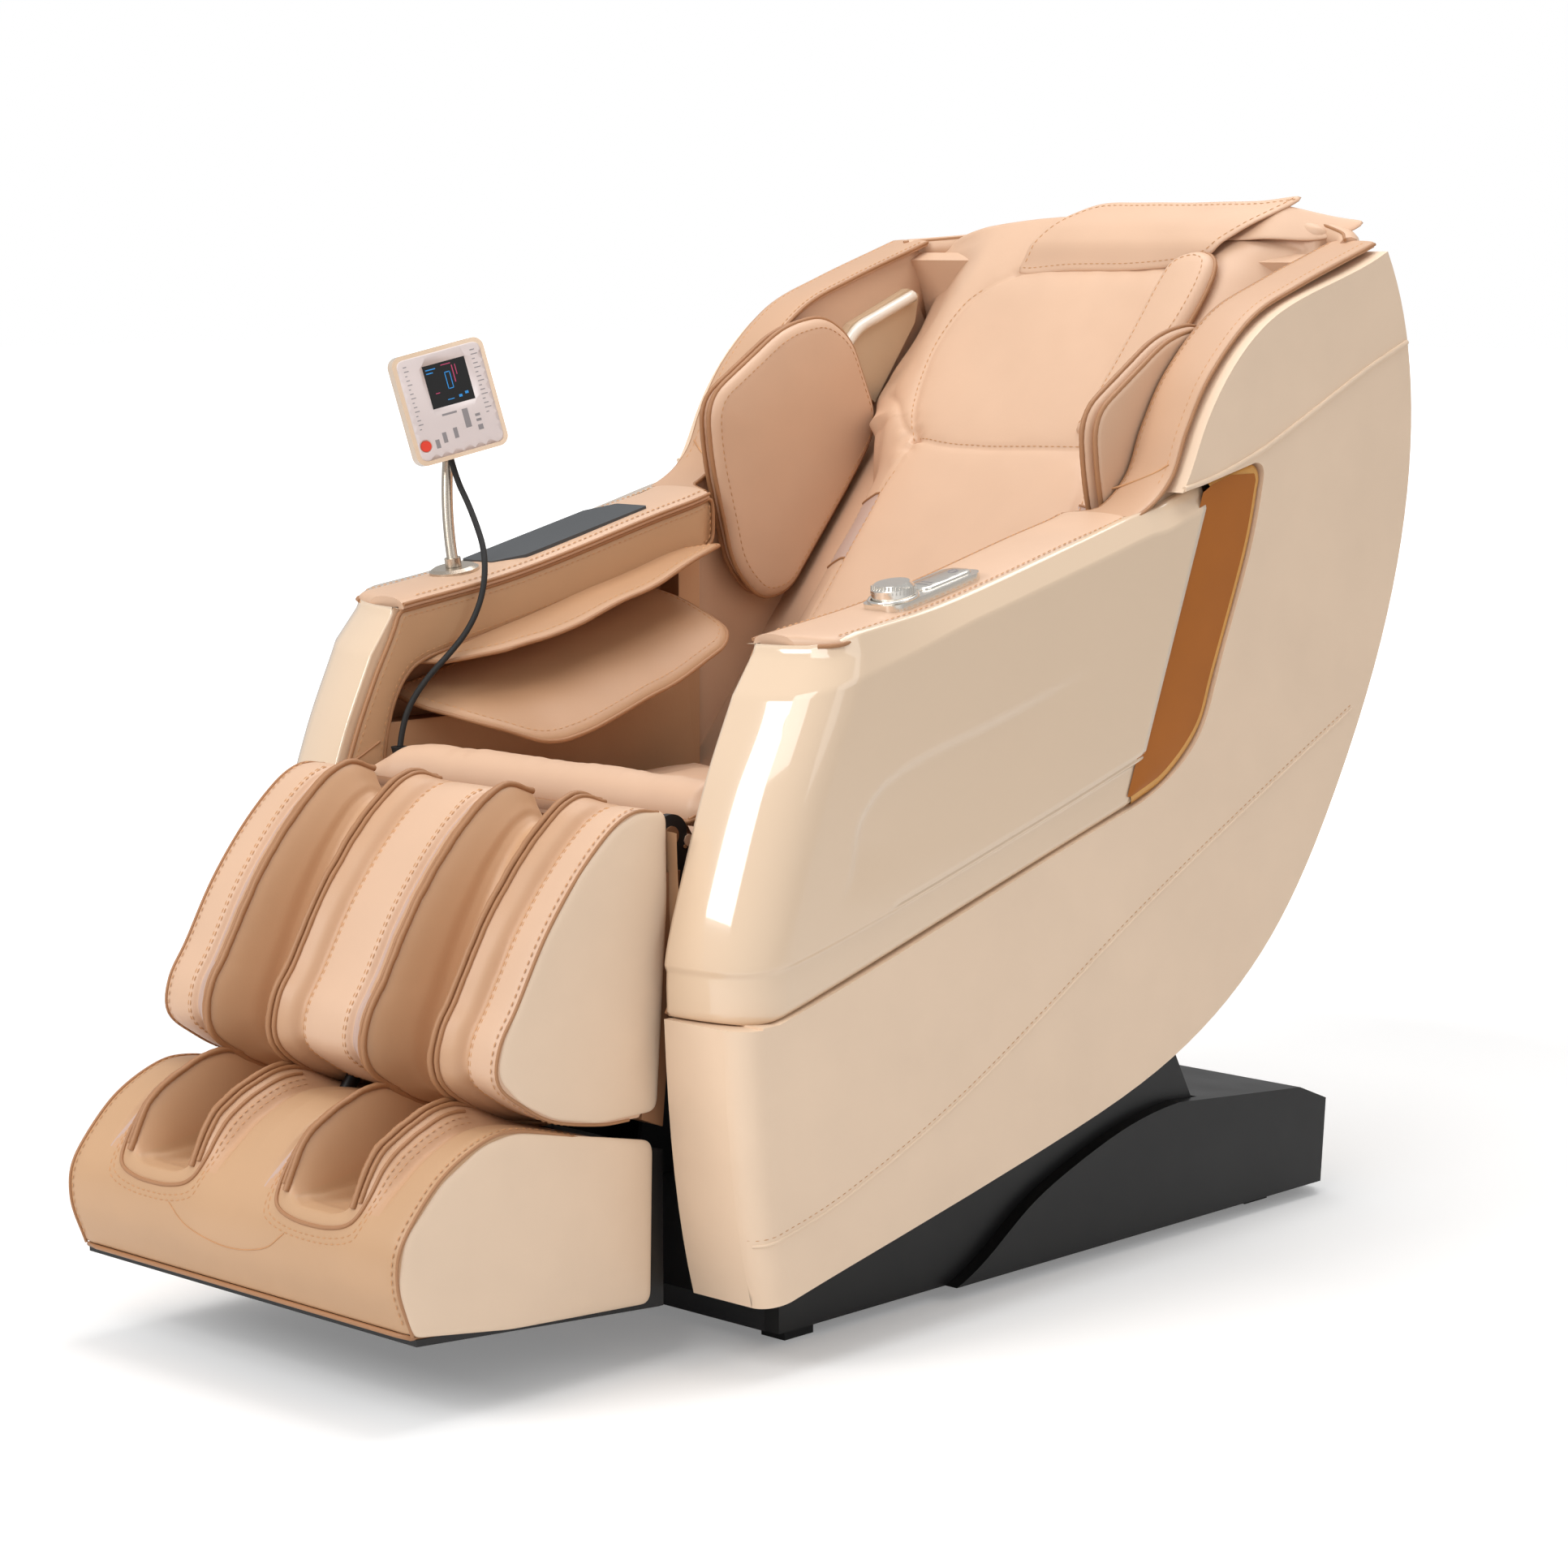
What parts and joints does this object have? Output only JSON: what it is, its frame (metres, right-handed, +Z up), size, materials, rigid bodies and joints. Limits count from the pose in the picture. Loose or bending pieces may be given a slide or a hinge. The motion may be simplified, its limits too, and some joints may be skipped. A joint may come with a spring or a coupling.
{
  "type": "massage chair",
  "caption": "Reclining massage chair with padded seat shell, lifting calf rest, sliding foot rest, arm tunnels and a tablet on a swivelling arm.",
  "frame": {"origin": "on the floor under the middle of the chair", "axes": "+Z up, +X to the sitter's left, the sitter faces -Y"},
  "size_m": [0.79, 1.4722, 1.1825],
  "materials": {
    "cream_leather": "satin",
    "champagne_plastic": "gloss",
    "amber_panel": "gloss",
    "tan_leather": "satin",
    "beige_plastic": "satin",
    "black_plastic": "satin",
    "painted_steel": "satin",
    "rubber_feet": "matt",
    "drive_metal": "satin",
    "drive_rods": "satin",
    "satin_metal": "satin",
    "charging_grey": "matt",
    "tablet_rose": "satin",
    "screen_glass": "gloss",
    "red_key": "gloss",
    "cord_black": "matt"
  },
  "bodies": {
    "base": {"base_pan": "painted_steel", "pivot_posts": "painted_steel", "side_skirts": "black_plastic", "rear_cover": "black_plastic", "base_feet": "rubber_feet", "power_inlet": "black_plastic", "control_box": "black_plastic", "air_pump": "black_plastic"},
    "transport_wheels": {"transport_wheels": "rubber_feet"},
    "power_switch": {"power_switch": "black_plastic"},
    "capsule": {"side_shell_left": "cream_leather", "side_shell_right": "cream_leather", "arm_cover_left": "champagne_plastic", "arm_cover_right": "champagne_plastic", "accent_panels": "amber_panel", "edge_trims": "tan_leather", "arm_rest_left": "tan_leather", "arm_rest_right": "tan_leather", "side_linings": "tan_leather", "speaker_panels": "beige_plastic", "back_shell": "beige_plastic", "seat_frame": "painted_steel", "guide_rails": "painted_steel", "seat_cushion": "tan_leather", "seat_front_flap": "tan_leather", "back_pad_lower": "tan_leather", "back_pad_upper": "tan_leather", "head_pillow": "tan_leather", "neck_pads": "tan_leather", "charging_pad": "charging_grey", "control_plate": "satin_metal", "stand_base": "satin_metal", "tablet_cord": "cord_black", "cord_grommet": "black_plastic"},
    "shoulder_pad_left": {"shoulder_pad_left": "tan_leather"},
    "shoulder_pad_right": {"shoulder_pad_right": "tan_leather"},
    "arm_flap_upper_left": {"arm_flap_upper_left": "tan_leather"},
    "arm_flap_upper_right": {"arm_flap_upper_right": "tan_leather"},
    "arm_flap_lower_left": {"arm_flap_lower_left": "tan_leather"},
    "arm_flap_lower_right": {"arm_flap_lower_right": "tan_leather"},
    "control_knob": {"control_knob": "satin_metal"},
    "tablet_stand": {"stand_arm": "satin_metal"},
    "tablet": {"tablet_housing": "tablet_rose", "tablet_screen": "screen_glass"},
    "tablet_key": {"tablet_button": "red_key"},
    "massage_carriage": {"massage_carriage": "black_plastic"},
    "kneading_wheels": {"kneading_wheels": "rubber_feet"},
    "calf_rest": {"calf_shell": "black_plastic", "calf_pads": "tan_leather", "calf_side_panels": "cream_leather", "calf_trough_pads": "tan_leather"},
    "foot_rest": {"foot_shell": "black_plastic", "foot_cover": "tan_leather", "foot_soles": "tan_leather", "foot_side_panels": "cream_leather"},
    "sole_rollers": {"sole_rollers": "rubber_feet"},
    "recline_drive_body": {"recline_drive_body": "drive_metal"},
    "recline_drive_rod": {"recline_drive_rod": "drive_rods"},
    "leg_drive_body": {"leg_drive_body": "drive_metal"},
    "leg_drive_rod": {"leg_drive_rod": "drive_rods"}
  },
  "joints": [
    {"name": "recline", "type": "hinge", "parent": "base", "child": "capsule", "pos_m": [0, 0.172, 0.45], "axis": [-1, 0, 0], "range_deg": [0, 25]},
    {"name": "calf_lift", "type": "hinge", "parent": "capsule", "child": "calf_rest", "pos_m": [0, -0.346, 0.545], "axis": [-1, 0, 0], "range_deg": [0, 50]},
    {"name": "foot_extend", "type": "slide", "parent": "calf_rest", "child": "foot_rest", "axis": [0, -0.638, -0.77], "range_m": [0, 0.121]},
    {"name": "tablet_swivel", "type": "hinge", "parent": "capsule", "child": "tablet_stand", "pos_m": [-0.33, -0.126, 0.76449], "axis": [0, -0.1794, 0.9838], "range_deg": [-60, 60], "deforming": ["tablet_cord"]},
    {"name": "tablet_tilt", "type": "hinge", "parent": "tablet_stand", "child": "tablet", "pos_m": [-0.35246, -0.11524, 0.94265], "axis": [0.4016, 0.8835, 0.241], "range_deg": [-15, 0]},
    {"name": "tablet_press", "type": "slide", "parent": "tablet", "child": "tablet_key", "axis": [-0.8974, 0.4321, -0.0889], "range_m": [0, 0.001], "stiffness_N_per_m": 400, "springref_m": -0.001},
    {"name": "arm_flap_upper_left_squeeze", "type": "hinge", "parent": "capsule", "child": "arm_flap_upper_left", "pos_m": [0.3316, -0.24, 0.672], "axis": [0, -0.9777, -0.2102], "range_deg": [0, 8]},
    {"name": "arm_flap_lower_left_squeeze", "type": "hinge", "parent": "capsule", "child": "arm_flap_lower_left", "pos_m": [0.3317, -0.24, 0.6445], "axis": [0, 0.9724, 0.2334], "range_deg": [0, 8]},
    {"name": "arm_flap_upper_right_squeeze", "type": "hinge", "parent": "capsule", "child": "arm_flap_upper_right", "pos_m": [-0.3316, -0.24, 0.672], "axis": [0, 0.9777, 0.2102], "range_deg": [0, 8]},
    {"name": "arm_flap_lower_right_squeeze", "type": "hinge", "parent": "capsule", "child": "arm_flap_lower_right", "pos_m": [-0.3317, -0.24, 0.6445], "axis": [0, -0.9724, -0.2334], "range_deg": [0, 8]},
    {"name": "shoulder_pad_left_squeeze", "type": "hinge", "parent": "capsule", "child": "shoulder_pad_left", "pos_m": [0.3223, 0.5666, 0.9162], "axis": [0, -0.6198, -0.7848], "range_deg": [0, 8]},
    {"name": "shoulder_pad_right_squeeze", "type": "hinge", "parent": "capsule", "child": "shoulder_pad_right", "pos_m": [-0.3223, 0.5666, 0.9162], "axis": [0, 0.6198, 0.7848], "range_deg": [0, 8]},
    {"name": "knob_turn", "type": "hinge", "parent": "capsule", "child": "control_knob", "pos_m": [0.334, -0.10701, 0.77745], "axis": [0, -0.2059, 0.9786], "continuous": true},
    {"name": "carriage_travel", "type": "slide", "parent": "capsule", "child": "massage_carriage", "axis": [0, 0.6363, 0.7714], "range_m": [0, 0.38]},
    {"name": "kneading_turn", "type": "hinge", "parent": "massage_carriage", "child": "kneading_wheels", "pos_m": [0, 0.30991, 0.56243], "axis": [1, 0, 0], "continuous": true},
    {"name": "sole_rollers_turn", "type": "hinge", "parent": "foot_rest", "child": "sole_rollers", "pos_m": [0, -0.548, 0.163], "axis": [1, 0, 0], "continuous": true},
    {"name": "transport_wheels_turn", "type": "hinge", "parent": "base", "child": "transport_wheels", "pos_m": [0, 0.648, 0.03], "axis": [1, 0, 0], "continuous": true},
    {"name": "power_switch_rock", "type": "hinge", "parent": "base", "child": "power_switch", "pos_m": [-0.054, 0.699, 0.067], "axis": [1, 0, 0], "range_deg": [0, 6]},
    {"name": "recline_drive_tilt", "type": "hinge", "parent": "base", "child": "recline_drive_body", "pos_m": [0.06, 0.092, 0.08], "axis": [-1, 0, 0], "range_deg": [0, 7.2]},
    {"name": "recline_drive_stroke", "type": "slide", "parent": "recline_drive_body", "child": "recline_drive_rod", "axis": [0, -0.495, 0.8689], "range_m": [0, 0.105]},
    {"name": "leg_drive_tilt", "type": "hinge", "parent": "capsule", "child": "leg_drive_body", "pos_m": [-0.06, -0.088, 0.38], "axis": [-1, 0, 0], "range_deg": [0, 13.2]},
    {"name": "leg_drive_stroke", "type": "slide", "parent": "leg_drive_body", "child": "leg_drive_rod", "axis": [0, -0.979, -0.204], "range_m": [0, 0.173]}
  ],
  "couplings": [
    {"joint": "foot_extend", "follows": "calf_lift", "m_per_rad": 0.1375},
    {"joint": "recline_drive_tilt", "follows": "recline", "ratio": 0.2785},
    {"joint": "recline_drive_stroke", "follows": "recline", "m_per_rad": 0.2379},
    {"joint": "leg_drive_tilt", "follows": "calf_lift", "ratio": 0.2607},
    {"joint": "leg_drive_stroke", "follows": "calf_lift", "m_per_rad": 0.1971}
  ]
}
